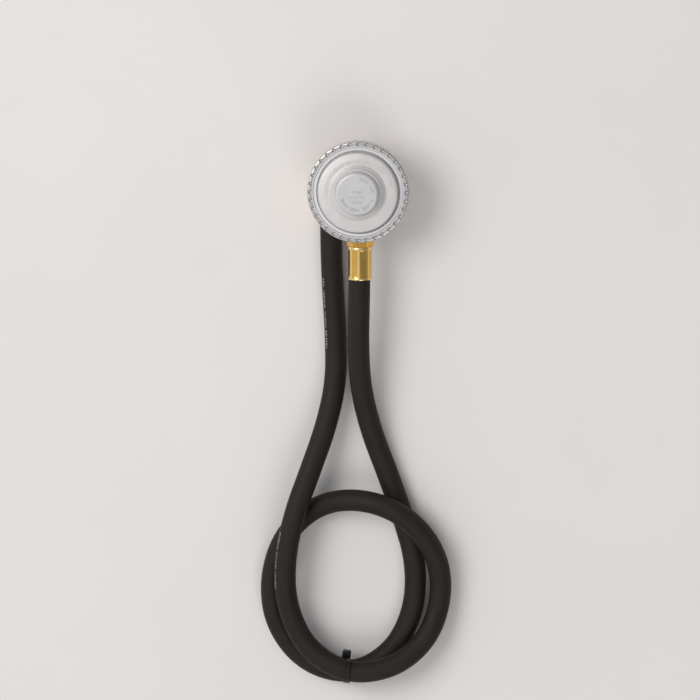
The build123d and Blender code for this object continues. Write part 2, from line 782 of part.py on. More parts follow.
with BuildPart() as outlet_tail:
    end_plane = Plane(origin=(END_X, 0, END_Z), x_dir=(1, 0, 0), z_dir=(0, 1, 0))
    with BuildSketch(end_plane.offset(FERRULE_TOP_Y - BARB_LENGTH)):
        Circle(HOSE_BORE_R)
    extrude(amount=BARB_LENGTH - FERRULE_END)
    for barb in range(BARB_COUNT):
        with BuildSketch(end_plane.offset(FERRULE_TOP_Y - 5.2 - BARB_PITCH * barb)):
            Circle(HOSE_BORE_R + PRESS)
        extrude(amount=BARB_STEP, taper=-BARB_TAPER)
    with BuildSketch(end_plane.offset(FERRULE_TOP_Y - FERRULE_END)):
        Circle(NUT_NECK_R)
    extrude(amount=FLANGE_BASE_Y - FERRULE_TOP_Y + FERRULE_END)
    with BuildSketch(end_plane.offset(FLANGE_BASE_Y)):
        Circle(END_FLANGE_R)
    extrude(amount=END_FLANGE_THICK)
    with BuildSketch(end_plane.offset(FLANGE_BASE_Y + END_FLANGE_THICK)):
        Circle(END_FLANGE_R - 0.15)
    extrude(amount=3.2, taper=30)
    with BuildSketch(end_plane.offset(FERRULE_TOP_Y - 25)):
        Circle(TAIL_BORE_R)
    extrude(amount=40, mode=Mode.SUBTRACT)
save(outlet_tail, "outlet_tail")

with BuildPart() as swivel_nut:
    with BuildSketch(end_plane.offset(NUT_BASE_Y)):
        RegularPolygon(NUT_FLATS / 2, 6, major_radius=False)
    extrude(amount=NUT_LENGTH)
    # Chamfer the hexagon's corners by turning both ends
    with BuildSketch(Plane(origin=(END_X, 0, END_Z), x_dir=(1, 0, 0), z_dir=(0, 0, 1))):
        with BuildLine():
            nut_top = NUT_BASE_Y + NUT_LENGTH
            Polyline(
                (0, NUT_BASE_Y),
                (NUT_CHAMFER_R, NUT_BASE_Y),
                (NUT_CORNER_R, NUT_BASE_Y + NUT_CHAMFER),
                (NUT_CORNER_R, nut_top - NUT_CHAMFER),
                (NUT_CHAMFER_R, nut_top),
                (0, nut_top),
                close=True,
            )
        make_face()
    revolve(axis=Axis((END_X, 0, END_Z), (0, 1, 0)), mode=Mode.INTERSECT)
    with BuildSketch(end_plane.offset(NUT_BASE_Y - 1)):
        Circle(NUT_NECK_R + RUNNING)
    extrude(amount=NUT_BACK + 2, mode=Mode.SUBTRACT)
    with BuildSketch(end_plane.offset(NUT_BASE_Y + NUT_BACK)):
        Circle(NUT_ROOM_R)
    extrude(amount=NUT_LENGTH - NUT_BACK - NUT_THREAD_LENGTH, mode=Mode.SUBTRACT)
    with BuildSketch(end_plane.offset(NUT_BASE_Y + NUT_LENGTH - NUT_THREAD_LENGTH - 0.1)):
        Circle(NUT_THREAD_R)
    extrude(amount=NUT_THREAD_LENGTH + 1, mode=Mode.SUBTRACT)
save(swivel_nut, "swivel_nut")
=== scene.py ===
"""Looks of the gas regulator and its hose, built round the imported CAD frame. Units are metres."""
import bisect
import json
import math
import random

import bmesh
import bpy
from mathutils import Matrix, Vector


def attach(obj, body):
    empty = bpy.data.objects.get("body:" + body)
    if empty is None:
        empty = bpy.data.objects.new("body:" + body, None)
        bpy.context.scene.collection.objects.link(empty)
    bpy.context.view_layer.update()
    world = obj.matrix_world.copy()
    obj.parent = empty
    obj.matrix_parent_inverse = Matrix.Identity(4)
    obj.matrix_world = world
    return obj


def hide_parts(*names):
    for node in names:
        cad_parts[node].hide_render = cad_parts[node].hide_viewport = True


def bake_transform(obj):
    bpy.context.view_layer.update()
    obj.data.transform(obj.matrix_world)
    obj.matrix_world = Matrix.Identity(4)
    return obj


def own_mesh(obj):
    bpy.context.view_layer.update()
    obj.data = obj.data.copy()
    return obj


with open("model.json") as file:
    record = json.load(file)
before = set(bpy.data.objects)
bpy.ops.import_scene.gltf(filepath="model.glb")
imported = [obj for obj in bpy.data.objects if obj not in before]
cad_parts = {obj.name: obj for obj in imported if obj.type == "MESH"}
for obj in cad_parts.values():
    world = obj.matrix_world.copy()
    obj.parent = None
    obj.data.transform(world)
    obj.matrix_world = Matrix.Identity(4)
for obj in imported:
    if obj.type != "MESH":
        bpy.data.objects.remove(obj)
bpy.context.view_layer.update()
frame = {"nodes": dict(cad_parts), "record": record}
NODES = frame["nodes"]

# Pieces are drawn in millimetres and scaled by MM. Materials, lights and the camera use metres.
MM = 0.001
X_AXIS, Y_AXIS, Z_AXIS = Vector((1, 0, 0)), Vector((0, 1, 0)), Vector((0, 0, 1))


def new_object(name, data):
    """An object that shows the given data, linked to the scene."""
    made = bpy.data.objects.new(name, data)
    bpy.context.scene.collection.objects.link(made)
    return made


def clamp(value):
    """The value held between 0 and 1."""
    return min(1.0, max(0.0, value))


# ---------------------------------------------------------------- camera

CAMERA_TILT = math.radians(9.5)
CAMERA_TURN = math.radians(5.0)
CAMERA_DISTANCE = 2.5
CAMERA_AIM = Vector((-0.0088, -0.1093, 0.0))
FRAME_WIDTH = 0.4585
SENSOR = 36.0
CAMERA_CLIP = 20.0


def make_camera():
    """A long lens almost straight above the part, tipped a little towards +Y and +X."""
    back = Vector(
        (
            math.sin(CAMERA_TURN) * math.cos(CAMERA_TILT),
            math.sin(CAMERA_TILT),
            math.cos(CAMERA_TURN) * math.cos(CAMERA_TILT),
        )
    ).normalized()
    up = (Y_AXIS - Y_AXIS.dot(back) * back).normalized()
    right = up.cross(back)
    data = bpy.data.cameras.new("camera")
    data.sensor_width = SENSOR
    data.lens = SENSOR * CAMERA_DISTANCE / FRAME_WIDTH
    data.clip_end = CAMERA_CLIP
    camera = new_object("camera", data)
    turn = Matrix((right, up, back)).transposed().to_4x4()
    camera.matrix_world = Matrix.Translation(CAMERA_AIM + back * CAMERA_DISTANCE) @ turn
    bpy.context.scene.camera = camera


make_camera()


# ---------------------------------------------------------------- hose route

HOSE_R = 7.1 * MM
CURVE_ORDER = 3
CURVE_STEPS = 16
HOSE_ROUND_STEPS = 10

# The same points as the CAD tube's route, in millimetres, from the far end to the regulator.
ROUTE = [
    (-20.5, -4.0, 8.5),
    (-20.5, -35.0, 8.5),
    (-19.5, -66.0, 7.1),
    (-17.5, -97.0, 7.1),
    (-17.0, -128.0, 9.0),
    (-23.0, -157.0, 13.5),
    (-33.0, -186.0, 19.5),
    (-43.5, -215.0, 23.0),
    (-50.0, -245.5, 22.0),
    (-49.5, -276.0, 20.0),
    (-36.5, -305.0, 21.5),
    (-9.5, -321.5, 24.2),
    (22.0, -317.5, 22.0),
    (45.0, -298.0, 14.5),
    (53.5, -267.5, 9.5),
    (48.5, -237.5, 16.5),
    (28.5, -213.0, 24.0),
    (-0.5, -204.0, 20.0),
    (-29.5, -210.5, 9.5),
    (-52.0, -232.0, 7.1),
    (-61.5, -262.0, 7.1),
    (-58.0, -293.0, 7.1),
    (-38.0, -318.5, 7.3),
    (-6.5, -326.0, 8.8),
    (21.0, -309.5, 7.3),
    (34.5, -281.0, 7.1),
    (35.5, -249.0, 7.1),
    (27.0, -219.0, 7.1),
    (16.5, -189.5, 7.1),
    (6.0, -161.0, 10.5),
    (-0.5, -131.0, 17.0),
    (-1.5, -101.0, 23.5),
    (-0.5, -70.5, 27.0),
    (0.0, -37.2, 27.0),
]


def route_curve(name, bevel):
    """The hose's centreline as a NURBS curve from the regulator, round if bevel is not 0."""
    curve = bpy.data.curves.new(name, "CURVE")
    curve.dimensions = "3D"
    spline = curve.splines.new("NURBS")
    spline.points.add(len(ROUTE) - 1)
    for point, place in zip(spline.points, reversed(ROUTE)):
        point.co = (place[0] * MM, place[1] * MM, place[2] * MM, 1.0)
    spline.order_u = CURVE_ORDER
    spline.use_endpoint_u = True
    curve.resolution_u = CURVE_STEPS
    curve.bevel_depth = bevel
    curve.bevel_resolution = HOSE_ROUND_STEPS
    curve.use_fill_caps = bevel > 0
    return new_object(name, curve)


def route_points():
    """Points along the route's spline, and the distance of each from the regulator."""
    line = route_curve("route_line", 0.0)
    mesh = bpy.data.meshes.new_from_object(line)
    points = [v.co.copy() for v in mesh.vertices]
    bpy.data.objects.remove(line)
    bpy.data.meshes.remove(mesh)
    along = [0.0]
    for a, b in zip(points, points[1:]):
        along.append(along[-1] + (b - a).length)
    return points, along


# ---------------------------------------------------------------- material helpers


class Shader:
    """A material's node tree under construction, round one Principled node."""

    def __init__(self, name):
        self.material = bpy.data.materials.new(name)
        self.material.use_nodes = True
        self.tree = self.material.node_tree
        self.tree.nodes.clear()
        out = self.tree.nodes.new("ShaderNodeOutputMaterial")
        self.surface = self.tree.nodes.new("ShaderNodeBsdfPrincipled")
        self.link(self.surface.outputs[0], out.inputs["Surface"])
        self.place = self.tree.nodes.new("ShaderNodeTexCoord").outputs["Object"]

    def link(self, source, target):
        """Joins an output socket to an input socket."""
        self.tree.links.new(source, target)

    def node(self, kind, **settings):
        """A new node with some of its settings given."""
        made = self.tree.nodes.new(kind)
        for key, value in settings.items():
            setattr(made, key, value)
        return made

    def set(self, **values):
        """Sets uniform values of the surface; an underscore in a name stands for a space."""
        for key, value in values.items():
            self.surface.inputs[key.replace("_", " ")].default_value = value

    def noise(self, scale, detail=3.0, rough=0.55, stretch=(1, 1, 1)):
        """A noise value from 0 to 1; scale is in features per metre."""
        mapping = self.node("ShaderNodeMapping")
        mapping.inputs["Scale"].default_value = stretch
        self.link(self.place, mapping.inputs["Vector"])
        noise = self.node("ShaderNodeTexNoise")
        noise.inputs["Scale"].default_value = scale
        noise.inputs["Detail"].default_value = detail
        noise.inputs["Roughness"].default_value = rough
        self.link(mapping.outputs[0], noise.inputs["Vector"])
        return noise.outputs["Fac"]

    def ramp(self, value, low, high, start=0.35, end=0.65):
        """Maps a value to a colour between two, over part of its range."""
        ramp = self.node("ShaderNodeValToRGB")
        stops = zip(ramp.color_ramp.elements, (start, end), (low, high))
        for stop, position, colour in stops:
            stop.position = position
            stop.color = (*colour, 1.0)
        self.link(value, ramp.inputs["Fac"])
        return ramp.outputs["Color"]

    def span(self, value, low, high, start=0.35, end=0.65):
        """Maps a value's part from start to end linearly to numbers from low to high."""
        span = self.node("ShaderNodeMapRange")
        span.inputs["From Min"].default_value = start
        span.inputs["From Max"].default_value = end
        span.inputs["To Min"].default_value = low
        span.inputs["To Max"].default_value = high
        self.link(value, span.inputs["Value"])
        return span.outputs["Result"]

    def mix(self, factor, a, b, blend="MIX"):
        """Mixes two colours; each argument is an output socket or a fixed value."""
        mix = self.node("ShaderNodeMix", data_type="RGBA", blend_type=blend)
        for socket, value in ((mix.inputs[0], factor), (mix.inputs[6], a), (mix.inputs[7], b)):
            if isinstance(value, (int, float)):
                socket.default_value = value
            elif isinstance(value, tuple):
                socket.default_value = (*value, 1.0)
            else:
                self.link(value, socket)
        return mix.outputs[2]

    def bump(self, height, distance, strength, under=None):
        """A normal that is raised by a height value, on top of another normal if one is given."""
        bump = self.node("ShaderNodeBump")
        bump.inputs["Distance"].default_value = distance
        bump.inputs["Strength"].default_value = strength
        self.link(height, bump.inputs["Height"])
        if under:
            self.link(under, bump.inputs["Normal"])
        return bump.outputs["Normal"]

    def finish(self, colour, roughness=None, normal=None):
        """Links what is given to the surface and returns the material."""
        for socket, value in (("Base Color", colour), ("Roughness", roughness), ("Normal", normal)):
            if value is not None:
                self.link(value, self.surface.inputs[socket])
        return self.material


# ---------------------------------------------------------------- materials

CAST_METALLIC = 0.35
SPECK_COLOUR = (0.33, 0.32, 0.31)
# Colour of the painted shade laid in crevices and hollows.
PAINTED_SHADE_COLOUR = (0.13, 0.125, 0.12)
CREVICE_REACH = 0.0018

# Two castings look different beyond a radius and above a height, both in metres: the bowl's rolled
# rim is barer and darker metal and gets stronger painted shade in its dimples; the face's flange
# ring is painted lighter, to stand in for light that the plateau's wall shades off it, and gets
# weaker painted shade.
ROLLED_RIM = {
    "radius": 0.0295,
    "height": 0.0345,
    "colour": (0.50, 0.49, 0.48),
    "share": 0.45,
    "metallic": 0.8,
    # Strength of the painted shade that the occlusion node lays in the rim's dimples.
    "painted_shade": 0.85,
    "rough": (0.2, 0.34),
}
# Painted light: the ring's lighter colour stands in for light that the plateau's wall shades off
# it.
FLANGE_RING = {
    "radius": 0.0262,
    "height": 0.0395,
    "colour": (0.70, 0.72, 0.75),
    "share": 0.9,
    # Strength of the painted shade that the occlusion node lays on the ring.
    "metallic": 0.12,
    "painted_shade": 0.15,
    "rough": (0.4, 0.52),
}
EDGE_BLEND_OUT = 0.0005
EDGE_BLEND_UP = 0.001


def edge_mask(s, radius, height):
    """A mask that is 1 beyond a radius and above a height, and 0 elsewhere."""
    split = s.node("ShaderNodeSeparateXYZ")
    s.link(s.place, split.inputs[0])
    flat = s.node("ShaderNodeCombineXYZ")
    s.link(split.outputs["X"], flat.inputs["X"])
    s.link(split.outputs["Y"], flat.inputs["Y"])
    reach = s.node("ShaderNodeVectorMath", operation="LENGTH")
    s.link(flat.outputs[0], reach.inputs[0])
    both = s.node("ShaderNodeMath", operation="MULTIPLY")
    outside = s.span(reach.outputs["Value"], 0.0, 1.0, radius, radius + EDGE_BLEND_OUT)
    above = s.span(split.outputs["Z"], 0.0, 1.0, height, height + EDGE_BLEND_UP)
    s.link(outside, both.inputs[0])
    s.link(above, both.inputs[1])
    return both.outputs[0]


def casting_material(name, light, dark, rough, edge=None):
    """Zinc casting under thin silver lacquer, darkened by painted shade in its crevices. Its edge
    may differ.
    """
    s = Shader(name)
    s.set(Metallic=CAST_METALLIC, Coat_Weight=0.12, Coat_Roughness=0.3)
    colour = s.ramp(s.noise(55, 4), dark, light)
    specks = s.noise(900, 2, 0.4)
    colour = s.mix(s.span(specks, 0.0, 0.16, 0.62, 0.72), colour, SPECK_COLOUR)
    # Painted shade: an ambient occlusion node darkens the colour in crevices and hollows, where
    # shade falls.
    crevice = s.node("ShaderNodeAmbientOcclusion", samples=8)
    crevice.inputs["Distance"].default_value = CREVICE_REACH
    painted_shade = s.span(crevice.outputs["AO"], 0.32, 0.0, 0.15, 0.8)
    roughness = s.span(s.noise(130, 4), rough - 0.06, rough + 0.08)
    if edge:
        mask = edge_mask(s, edge["radius"], edge["height"])
        colour = s.mix(s.span(mask, 0.0, edge["share"], 0.0, 1.0), colour, edge["colour"])
        metallic = s.span(mask, CAST_METALLIC, edge["metallic"], 0.0, 1.0)
        s.link(metallic, s.surface.inputs["Metallic"])
        # Beyond the edge the painted shade takes the edge's own strength.
        painted_shade = s.mix(mask, painted_shade, s.span(crevice.outputs["AO"], edge["painted_shade"], 0.0, 0.35, 0.9))
        roughness = s.mix(mask, roughness, s.span(s.noise(400, 3), *edge["rough"]))
    colour = s.mix(painted_shade, colour, PAINTED_SHADE_COLOUR)
    peel = s.bump(s.noise(1400, 3), 0.00006, 0.45)
    grain = s.bump(s.noise(5200, 2), 0.00002, 0.5, peel)
    return s.finish(colour, roughness, grain)


TOOL_LINE_TINT = (0.42, 0.24, 0.07)
# Painted highlight: pale brass on a sleeve's proud ridges and lip, beyond a radius from its axis,
# standing in for bright reflections.
PAINTED_HIGHLIGHT_BRASS = (0.98, 0.75, 0.37)
PAINTED_HIGHLIGHT_SHARE = 0.75
PAINTED_HIGHLIGHT_FROM_R = 0.00754
PAINTED_HIGHLIGHT_FULL_R = 0.00764


def proud_mask(s, axis):
    """A mask that is 1 where a sleeve along Y stands proud; axis is its (x, z) in metres."""
    offset = s.node("ShaderNodeVectorMath", operation="SUBTRACT")
    s.link(s.place, offset.inputs[0])
    offset.inputs[1].default_value = (axis[0], 0, axis[1])
    flat = s.node("ShaderNodeVectorMath", operation="MULTIPLY")
    s.link(offset.outputs[0], flat.inputs[0])
    flat.inputs[1].default_value = (1, 0, 1)
    reach = s.node("ShaderNodeVectorMath", operation="LENGTH")
    s.link(flat.outputs[0], reach.inputs[0])
    return s.span(reach.outputs["Value"], 0.0, 1.0, PAINTED_HIGHLIGHT_FROM_R, PAINTED_HIGHLIGHT_FULL_R)


def brass_material(name, light, dark, rough, stretch, axis=None):
    """Brass with fine tool lines; stretch is small along them. An axis adds a painted highlight to
    high parts.
    """
    s = Shader(name)
    s.set(Metallic=1.0)
    lines = s.noise(2600, 3, 0.6, stretch)
    tone = s.noise(120, 4)
    colour = s.ramp(tone, dark, light, 0.3, 0.7)
    colour = s.mix(s.span(lines, 0.0, 0.25), colour, TOOL_LINE_TINT, "MULTIPLY")
    if axis:
        # Painted highlight on the sleeve's proud ridges and lip.
        colour = s.mix(s.span(proud_mask(s, axis), 0.0, PAINTED_HIGHLIGHT_SHARE), colour, PAINTED_HIGHLIGHT_BRASS)
    roughness = s.span(lines, rough - 0.05, rough + 0.12)
    return s.finish(colour, roughness, s.bump(lines, 0.00003, 0.5))


def steel_material(name):
    """Bare drawn steel with fine lines along Z."""
    s = Shader(name)
    s.set(Metallic=1.0)
    lines = s.noise(2200, 3, 0.6, (1, 1, 0.2))
    colour = s.ramp(lines, (0.42, 0.42, 0.43), (0.60, 0.60, 0.61))
    return s.finish(colour, s.span(lines, 0.28, 0.45), s.bump(lines, 0.00003, 0.4))


DUST_COLOUR = (0.07, 0.062, 0.055)


def rubber_material(name, light, dark, rough):
    """Satin rubber: blotchy bloom, fine dust, slow waves and fine pores."""
    s = Shader(name)
    s.set(Specular_IOR_Level=0.22)
    bloom = s.noise(75, 5, 0.6)
    dust = s.noise(2400, 3, 0.7)
    colour = s.ramp(bloom, dark, light, 0.3, 0.7)
    colour = s.mix(s.span(dust, 0.0, 0.2, 0.58, 0.75), colour, DUST_COLOUR)
    pores = s.bump(s.noise(3800, 3), 0.00005, 0.35)
    waves = s.bump(s.noise(260, 3), 0.00012, 0.35, pores)
    return s.finish(colour, s.span(bloom, rough - 0.06, rough + 0.08), waves)


def plastic_material(name, light, dark, rough, specular=0.5):
    """Moulded plastic: faintly uneven tone and gloss, with a fine grain."""
    s = Shader(name)
    s.set(Specular_IOR_Level=specular)
    tone = s.noise(180, 4)
    grain = s.bump(s.noise(3000, 3), 0.00004, 0.35)
    return s.finish(s.ramp(tone, dark, light), s.span(tone, rough - 0.07, rough + 0.1), grain)


# Each look is the light tone, the dark tone and the roughness; brass also has its lines' stretch.
SILVER_LOOK = ((0.69, 0.66, 0.645), (0.64, 0.613, 0.60), 0.42)
CAP_LOOK = ((0.62, 0.615, 0.615), (0.57, 0.568, 0.568), 0.44)
BRASS_LOOK = ((0.80, 0.56, 0.24), (0.70, 0.46, 0.17), 0.26)
FERRULE_LOOK = ((0.86, 0.53, 0.125), (0.78, 0.445, 0.09), 0.19, (1, 0.06, 1))

casting = casting_material("casting_zinc", *SILVER_LOOK)
body_casting = casting_material("body_zinc", *SILVER_LOOK, ROLLED_RIM)
bonnet_casting = casting_material("bonnet_zinc", *SILVER_LOOK, FLANGE_RING)
cap_metal = casting_material("cap_zinc", *CAP_LOOK)
turned_brass = brass_material("turned_brass", *BRASS_LOOK, (1, 0.12, 1))
turned_brass_z = brass_material("turned_brass_upright", *BRASS_LOOK, (0.12, 0.12, 1))
ferrule_brass = brass_material("ferrule_brass", *FERRULE_LOOK)
steel = steel_material("plain_steel")
seal_rubber = rubber_material("seal_rubber", (0.035, 0.035, 0.035), (0.02, 0.02, 0.02), 0.6)
hose_rubber = rubber_material("hose_rubber", (0.023, 0.0165, 0.0132), (0.014, 0.0102, 0.0083), 0.6)
plastic = plastic_material("natural_plastic", (0.72, 0.70, 0.64), (0.64, 0.62, 0.57), 0.5)
tie_plastic = plastic_material(
    "tie_nylon", (0.009, 0.009, 0.008), (0.006, 0.006, 0.0055), 0.27, specular=0.3
)
print_ink = plastic_material("print_ink", (0.34, 0.32, 0.30), (0.16, 0.15, 0.14), 0.65)

# The finish of each material slot, and the nodes with a finish of their own within their slot.
SLOT_MATERIALS = {
    "casting": casting,
    "cap": cap_metal,
    "brass": turned_brass,
    "ferrule_brass": ferrule_brass,
    "spring_steel": steel,
    "seal_rubber": seal_rubber,
    "plastic": plastic,
    "hose_rubber": hose_rubber,
    "tie_nylon": tie_plastic,
}
NODE_MATERIALS = {
    "regulator_body": body_casting,
    "bonnet": bonnet_casting,
    "hose_tail": ferrule_brass,
    "inlet_stem": turned_brass_z,
    "hand_collar": turned_brass_z,
    "gland_nut": turned_brass_z,
}


def finish_cad_nodes():
    """Every CAD node takes the finish of its slot, or one of its own."""
    slots = {part["node"]: part["material_slot"] for part in frame["record"]["subparts"]}
    for name, piece in NODES.items():
        piece.data.materials.clear()
        piece.data.materials.append(NODE_MATERIALS.get(name, SLOT_MATERIALS[slots[name]]))


finish_cad_nodes()


# ---------------------------------------------------------------- mesh helpers

SHARP = math.radians(32)


def make_object(name, bm, material):
    """Turns a bmesh into an object, smooth except at its sharp edges."""
    bmesh.ops.recalc_face_normals(bm, faces=bm.faces)
    for face in bm.faces:
        face.smooth = True
    for edge in bm.edges:
        edge.smooth = edge.calc_face_angle(0.0) < SHARP
    mesh = bpy.data.meshes.new(name)
    bm.to_mesh(mesh)
    bm.free()
    mesh.materials.append(material)
    return new_object(name, mesh)


def add_piece(name, bm, body, slot_name, material, *stands_for):
    """A piece of the part that rides on one body and may stand for CAD nodes."""
    piece = make_object(name, bm, material)
    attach(piece, body)
    if stands_for:
        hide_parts(*stands_for)
    return piece


def loft(rows, capped_ends=False):
    """A solid from rows of points. Its last row joins its first, unless its ends are capped."""
    bm = bmesh.new()
    grid = [[bm.verts.new(point) for point in row] for row in rows]
    columns = len(grid[0])
    for row, after in zip(grid, grid[1:] if capped_ends else grid[1:] + grid[:1]):
        for j in range(columns):
            k = (j + 1) % columns
            bm.faces.new((row[j], row[k], after[k], after[j]))
    if capped_ends:
        bm.faces.new(grid[0][::-1])
        bm.faces.new(grid[-1])
    return bm


def in_fixed_order(bm):
    """A copy of a bmesh with its faces sorted, as bevelling leaves them in any order."""
    bm.verts.index_update()
    rings = []
    for face in bm.faces:
        ring = [vert.index for vert in face.verts]
        first = ring.index(min(ring))
        rings.append(ring[first:] + ring[:first])
    copy = bmesh.new()
    verts = [copy.verts.new(vert.co) for vert in bm.verts]
    for ring in sorted(rings):
        copy.faces.new([verts[index] for index in ring])
    bm.free()
    return copy


def outward(angle):
    """The unit vector at an angle from +X, level with the floor."""
    return Vector((math.cos(angle), math.sin(angle), 0))


def turned(rows, origin, along, up, columns):
    """A ring-shaped piece. Each row is (millimetres along the axis, radius or radius(angle))."""
    side = along.cross(up)
    points = []
    for distance, radius in rows:
        row = []
        for column in range(columns):
            angle = 2 * math.pi * column / columns
            reach = radius(angle) if callable(radius) else radius
            spoke = up * math.cos(angle) + side * math.sin(angle)
            row.append((origin + along * distance + spoke * reach) * MM)
        points.append(row)
    return loft(points)


def polygon_radius(sides, flat_radius):
    """Radius of a regular polygon against the angle from the middle of one flat."""
    step = 2 * math.pi / sides
    return lambda angle: flat_radius / math.cos((angle + step / 2) % step - step / 2)


def capped(radius, limit):
    """The lesser of a radius function and a fixed radius, as turning leaves it."""
    return lambda angle: min(radius(angle), limit)


THREAD_FLAT = 0.14
THREAD_FLANK = 0.72


def screw(root, depth, pitch, distance):
    """Radius of a thread at one distance along it: flat crests and roots with sloping flanks."""

    def radius(angle):
        phase = (distance / pitch - angle / (2 * math.pi)) % 1.0
        return root + depth * clamp((abs(2 * phase - 1) - THREAD_FLAT) / THREAD_FLANK)

    return radius


def steps(start, end, step):
    """Evenly spaced distances from start to end, both included."""
    count = max(1, round(abs(end - start) / step))
    return [start + (end - start) * i / count for i in range(count + 1)]


BAR_SINK = 0.35
BAR_TAPER = 0.22


def bar(bm, place, long_way, cross_way, length, width, height):
    """A small raised bar with sloping sides, its base a little below place. It points up Z."""
    low, high = [], []
    for a, b in ((-1, -1), (1, -1), (1, 1), (-1, 1)):
        foot = place + long_way * (a * length / 2) + cross_way * (b * width / 2)
        shrink = long_way * (a * BAR_TAPER * height) + cross_way * (b * BAR_TAPER * height)
        low.append(bm.verts.new((foot - Z_AXIS * BAR_SINK) * MM))
        high.append(bm.verts.new((foot - shrink + Z_AXIS * height) * MM))
    bm.faces.new(low[::-1])
    bm.faces.new(high)
    for i in range(4):
        j = (i + 1) % 4
        bm.faces.new((low[i], low[j], high[j], high[i]))


# ---------------------------------------------------------------- inlet

INLET_THREAD_R = 8.0
INLET_THREAD_DEPTH = 0.9
INLET_PITCH = 1.5
INLET_THREAD_TOP = 11.0
INLET_THREAD_ROWS = 0.125
START_CHAMFER = 1.0
STEM_COLUMNS = 120
# (height, radius) from the thread's run-out up past the shoulder, the clip's groove and the seal's
# groove to the top, then down through the bore and the counterbore to the mouth.
STEM_PROFILE = [
    (10.55, 7.3),
    (10.9, 7.1),
    (11.0, 6.9),
    (11.0, 6.6),
    (13.0, 6.6),
    (13.0, 6.0),
    (23.0, 6.0),
    (23.0, 5.4),
    (24.0, 5.4),
    (24.0, 6.0),
    (24.2, 6.0),
    (24.2, 4.5),
    (25.0, 4.5),
    (25.0, 3.3),
    (26.4, 3.3),
    (26.4, 4.5),
    (27.0, 4.5),
    (27.2, 4.3),
    (27.2, 2.0),
    (5.0, 2.0),
    (5.0, 4.5),
    (0.25, 4.5),
]


def make_inlet_stem():
    """The swivelling inlet with a real helical thread."""
    rows = [(0.0, 4.75), (0.0, INLET_THREAD_R - START_CHAMFER)]
    for z in steps(0.12, INLET_THREAD_TOP - 0.5, INLET_THREAD_ROWS):
        groove = screw(INLET_THREAD_R - INLET_THREAD_DEPTH, INLET_THREAD_DEPTH, INLET_PITCH, z)
        rows.append((z, capped(groove, INLET_THREAD_R - START_CHAMFER + z)))
    bm = turned(rows + STEM_PROFILE, Vector(), Z_AXIS, Y_AXIS, STEM_COLUMNS)
    add_piece("inlet_threaded", bm, "inlet", "brass", turned_brass_z, "inlet_stem")


COLLAR_LOW = 13.0
COLLAR_HIGH = 18.5
COLLAR_BORE_R = 6.1
COLLAR_FACE_R = 9.5
COLLAR_R = 10.4
# (distance in from either face, greatest radius there): how the collar's edges are turned down.
COLLAR_EDGE = [(0.1, 9.75), (0.75, 10.38), (1.0, COLLAR_R)]
FLUTES = 28
FLUTE_DEPTH = 0.5
FLUTE_HALF_WIDTH = 0.25
COLUMNS_PER_FLUTE = 16


def make_hand_collar():
    """The hand collar with rounded flutes and turned-down edges."""

    def fluted(limit):
        def radius(angle):
            across = abs((angle * FLUTES / (2 * math.pi)) % 1.0 - 0.5)
            dip = max(0.0, 1.0 - (across / FLUTE_HALF_WIDTH) ** 2) ** 0.5
            return min(limit, COLLAR_R - FLUTE_DEPTH * dip)

        return radius

    rows = [(COLLAR_LOW, COLLAR_BORE_R), (COLLAR_LOW, COLLAR_FACE_R)]
    rows += [(COLLAR_LOW + inward, fluted(limit)) for inward, limit in COLLAR_EDGE]
    rows += [(COLLAR_HIGH - inward, fluted(limit)) for inward, limit in reversed(COLLAR_EDGE)]
    rows += [(COLLAR_HIGH, COLLAR_FACE_R), (COLLAR_HIGH, COLLAR_BORE_R)]
    bm = turned(rows, Vector(), Z_AXIS, Y_AXIS, FLUTES * COLUMNS_PER_FLUTE)
    add_piece("hand_collar_fluted", bm, "inlet", "brass", turned_brass_z, "hand_collar")


# ---------------------------------------------------------------- hose fittings

# Where each fitting starts. The sleeves run from there along -Y, and the nut along +Y.
REGULATOR_SLEEVE = (0.0, -36.6, 27.0)
FAR_SLEEVE = (-20.5, -3.4, 8.5)
FAR_NUT = (-20.5, 0.0, 8.5)

SLEEVE_LENGTH = 21.7
SLEEVE_FLAT_R = 7.3
SLEEVE_FLAT_MARGIN = 0.05
SLEEVE_LAND_R = 7.68
SLEEVE_COLLAR = 2.0
SLEEVE_COLLAR_R = 7.88
SLEEVE_BORE_R = 6.95
SLEEVE_MOUTH_R = 7.2
SLEEVE_WEB_R = 4.6
SLEEVE_WEB = 0.6
SLEEVE_RUN_IN = 2.4
SLEEVE_RUN_OUT = 3.4
SLEEVE_LIP = 1.2
SLEEVE_ROWS = 0.15
SLEEVE_FLAT_ROWS = 1.5
SLEEVE_COLUMNS = 192
# (distance from the sleeve's start, radius) up its rounded edge, and the same from the lip's start.
SLEEVE_EDGE = [(0.12, 7.55), (0.35, 7.78), (0.7, SLEEVE_COLLAR_R)]
SLEEVE_LIP_EDGE = [(-0.15, 7.7), (0.0, 7.72), (0.12, 7.88), (0.35, 7.97), (0.8, 7.97), (1.05, 7.88)]
SLEEVE_LIP_END_R = 7.65


